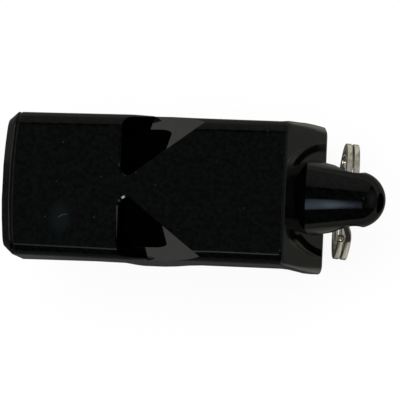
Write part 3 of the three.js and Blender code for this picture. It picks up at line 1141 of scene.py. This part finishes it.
back = Vector((
    math.sin(tilt_tail),
    -math.sin(tilt_near) * math.cos(tilt_tail),
    math.cos(tilt_near) * math.cos(tilt_tail),
))
level = (Vector((1, 0, 0)) - back * back.x).normalized()
above = back.cross(level)
right = level * math.cos(view_roll) + above * math.sin(view_roll)
up = above * math.cos(view_roll) - level * math.sin(view_roll)
off_centre = (target_pixel - Vector((photo_pixels, photo_pixels)) / 2) / pixels_per_mm * MM_TO_M
camera_data = bpy.data.cameras.new("photo_camera")
camera = bpy.data.objects.new("photo_camera", camera_data)
bpy.context.scene.collection.objects.link(camera)
camera_data.sensor_width = 36.0
camera_data.lens = pixels_per_mm * view_distance * MM / photo_pixels * camera_data.sensor_width
camera_data.clip_start = 0.01
camera_data.clip_end = 10.0
spot = target - right * off_centre.x + up * off_centre.y + back * view_distance
camera.matrix_world = Matrix((
    (right.x, up.x, back.x, spot.x),
    (right.y, up.y, back.y, spot.y),
    (right.z, up.z, back.z, spot.z),
    (0, 0, 0, 1),
))
bpy.context.scene.camera = camera
print(f"camera: lens {camera_data.lens:.1f} mm, at {tuple(round(n, 4) for n in spot)}")

# %% [markdown]
# ## Studio
# A black glossy thing shows mostly what stands round it. The floor is pale and reads white. In reflections it
# is painted darker close to the object, as the object's own shadow, darkest on the near side of the body and
# dimmer towards the mouth. Beside the ring a painted pool of light makes it lighter, so that the ring stands
# out. From below the floor can be seen through. Soft panels at the mouth and at the far side give the ramps
# and the rounded edges their grey, a pale one lights the near edge, and a long cool light beside the camera
# draws the line along the knob. What lights the floor is hidden from reflections, so the top stays black.

# %% Floor and world
scene = bpy.context.scene
scene.view_settings.view_transform = "Standard"
floor_level = cad_low.z - 0.0002
floor_white = (0.9, 0.9, 0.9)
glossy_tint = (1.0, 0.98, 0.87)
grey_reach = (0.02, 0.13)
mouth_dim_from, mouth_dim_to, mouth_dim = -0.25, -0.05, 0.45
beside_ring = (0.004, 0.010)
far_side = (0.008, 0.018)
near_dim = 0.1
pool_across = (0.010, 0.016)
pool_end = (0.013, 0.018)
pool_grey = 0.4


def plane(name, place_at, size, aim=None):
    object_mode()
    bpy.ops.mesh.primitive_plane_add(size=1, location=place_at)
    sheet = bpy.context.active_object
    sheet.name = name
    sheet.scale = (*size, 1)
    bpy.ops.object.transform_apply(location=False, rotation=False, scale=True)
    if aim is not None:
        sheet.rotation_mode = "QUATERNION"
        sheet.rotation_quaternion = (Vector(aim) - Vector(place_at)).to_track_quat("Z", "Y")
    return sheet


def emission(name, colour, strength):
    material = bpy.data.materials.new(name)
    material.use_nodes = True
    nodes, links = material.node_tree.nodes, material.node_tree.links
    nodes.clear()
    out = nodes.new("ShaderNodeOutputMaterial")
    glow = nodes.new("ShaderNodeEmission")
    glow.inputs["Color"].default_value = (*colour, 1)
    glow.inputs["Strength"].default_value = strength
    links.new(glow.outputs[0], out.inputs["Surface"])
    return material, nodes, links, glow, out


def floor_material(own_light, near_grey, far_grey):
    material, nodes, links, glow, out = emission("pale_floor", (1, 1, 1), 1.0)
    paint = nodes.new("ShaderNodeBsdfDiffuse")
    paint.inputs["Color"].default_value = (*floor_white, 1)
    path = nodes.new("ShaderNodeLightPath")
    seen = math_node(nodes, links, "MAXIMUM", path.outputs["Is Camera Ray"], path.outputs["Is Glossy Ray"])
    seen = math_node(nodes, links, "MAXIMUM", seen, path.outputs["Is Transmission Ray"])
    place_node = nodes.new("ShaderNodeTexCoord")
    reach = nodes.new("ShaderNodeVectorMath")
    reach.operation = "LENGTH"
    links.new(place_node.outputs["Object"], reach.inputs[0])
    # painted shadow: in reflections the floor's grey is darker close to the object and dimmer towards the mouth
    grey = map_node(nodes, links, reach.outputs["Value"], *grey_reach, near_grey, far_grey)
    split = nodes.new("ShaderNodeSeparateXYZ")
    links.new(place_node.outputs["Object"], split.inputs[0])
    along, across = split.outputs["X"], split.outputs["Y"]
    mouth_side = map_node(nodes, links, along, mouth_dim_from, mouth_dim_to, mouth_dim, 1.0)
    grey = math_node(nodes, links, "MULTIPLY", grey, mouth_side)
    beside = map_node(nodes, links, along, *beside_ring)
    lit = math_node(nodes, links, "MAXIMUM", beside, map_node(nodes, links, across, *far_side))
    grey = math_node(nodes, links, "MULTIPLY", grey, map_node(nodes, links, lit, 0.0, 1.0, near_dim, 1.0))
    # painted pool of light beside the ring, seen only in reflections
    away = math_node(nodes, links, "ABSOLUTE", across, 0.0)
    pool = map_node(nodes, links, away, *pool_across, 0.0, pool_grey)
    pool = math_node(nodes, links, "MULTIPLY", pool, beside)
    pool = math_node(nodes, links, "MULTIPLY", pool, map_node(nodes, links, along, *pool_end, 1.0, 0.0))
    grey = math_node(nodes, links, "MAXIMUM", grey, pool)
    tint = blend_colour(nodes, links, path.outputs["Is Glossy Ray"], (1.0, 1.0, 1.0), glossy_tint)
    links.new(tint, glow.inputs["Color"])
    strength = nodes.new("ShaderNodeMix")
    links.new(path.outputs["Is Glossy Ray"], strength.inputs["Factor"])
    strength.inputs["A"].default_value = 1.0
    links.new(grey, strength.inputs["B"])
    links.new(strength.outputs["Result"], glow.inputs["Strength"])
    mix = nodes.new("ShaderNodeMixShader")
    links.new(math_node(nodes, links, "MULTIPLY", seen, own_light), mix.inputs[0])
    links.new(paint.outputs[0], mix.inputs[1])
    links.new(glow.outputs[0], mix.inputs[2])
    from_below = nodes.new("ShaderNodeMixShader")
    links.new(nodes.new("ShaderNodeNewGeometry").outputs["Backfacing"], from_below.inputs[0])
    links.new(mix.outputs[0], from_below.inputs[1])
    links.new(nodes.new("ShaderNodeBsdfTransparent").outputs[0], from_below.inputs[2])
    links.new(from_below.outputs[0], out.inputs["Surface"])
    return material


floor = plane("floor", (0, 0, floor_level), (6, 6))
dress(floor, floor_material(own_light=0.93, near_grey=0.08, far_grey=0.31))
world = bpy.data.worlds.new("studio")
world.use_nodes = True
world.node_tree.nodes["Background"].inputs["Color"].default_value = (0.02, 0.02, 0.02, 1)
scene.world = world
print("floor at", round(floor_level * MM, 2), "mm")

# %% Panels and lamp


def panel(name, place_at, size, colour, core, rim, aim=None, focus=(0, 0, 0)):
    sheet = plane(name, place_at, size, aim)
    material, nodes, links, glow, out = emission(name, colour, 1.0)
    place_node = nodes.new("ShaderNodeTexCoord")
    share = nodes.new("ShaderNodeVectorMath")
    share.operation = "MULTIPLY"
    links.new(place_node.outputs["Object"], share.inputs[0])
    share.inputs[1].default_value = (1 / size[0], 1 / size[1], 0)
    away = nodes.new("ShaderNodeVectorMath")
    away.operation = "DISTANCE"
    links.new(share.outputs[0], away.inputs[0])
    away.inputs[1].default_value = focus
    reach = 0.5 + max(map(abs, focus))
    links.new(map_node(nodes, links, away.outputs["Value"], 0, reach, core, rim), glow.inputs["Strength"])
    dress(sheet, material)
    sheet.visible_camera = False
    sheet.visible_shadow = False
    return sheet


warm = (1, 0.98, 0.94)
cool = (0.62, 0.77, 1.0)
pale = (0.88, 0.94, 1.0)
knob_light_turn = math.radians(7)
panel("mouth_panel", target + 0.5 * Vector((-0.64, 0.05, 0.73)), (0.34, 0.34), warm, 1.7, 1.7, target)
panel("mouth_foot_panel", (-0.45, 0, 0.09), (0.6, 0.2), warm, 0.3, 0.3, target)
panel("far_panel", (0, 0.394, 0.218), (0.9, 0.5), warm, 0.32, 0.25, target)
knob_light = panel(
    "cool_panel", (0.1488, -0.175, 0.37), (0.02, 0.26), cool, 5.0, 0.6, focus=(0.3, -0.05, 0),
)
knob_light.rotation_euler.z = knob_light_turn
panel("tail_panel", (0.19, 0.025, 0.375), (0.06, 0.1), pale, 1.2, 0.1)
panel("near_panel", (-0.07, -0.33, 0.395), (0.26, 0.12), pale, 2.0, 0.8, focus=(0.5, 0, 0))
panel("nose_panel", (0.45, 0.02, 0.22), (0.6, 0.45), warm, 0.32, 0.12, target)
panel("ceiling_panel", (-0.08, -0.08, 0.41), (0.24, 0.4), (0.9, 1.0, 0.93), 0.1, 0.1)


def area(name, place_at, size, energy, colour, glossy=True):
    data = bpy.data.lights.new(name, "AREA")
    data.shape = "DISK"
    data.size = size
    data.energy = energy
    data.color = colour
    lamp = bpy.data.objects.new(name, data)
    scene.collection.objects.link(lamp)
    lamp.location = place_at
    lamp.rotation_mode = "QUATERNION"
    lamp.rotation_quaternion = (target - Vector(place_at)).to_track_quat("-Z", "Y")
    lamp.visible_glossy = glossy
    lamp.visible_camera = False
    return lamp


area("spark_lamp", (0.051, -0.216, 0.373), 0.08, 0.24, (0.9, 0.95, 1.0))
area("soft_overhead", (-0.1, 0.1, 0.7), 0.8, 7.2, (1, 1, 1), glossy=False)
print("studio lit")
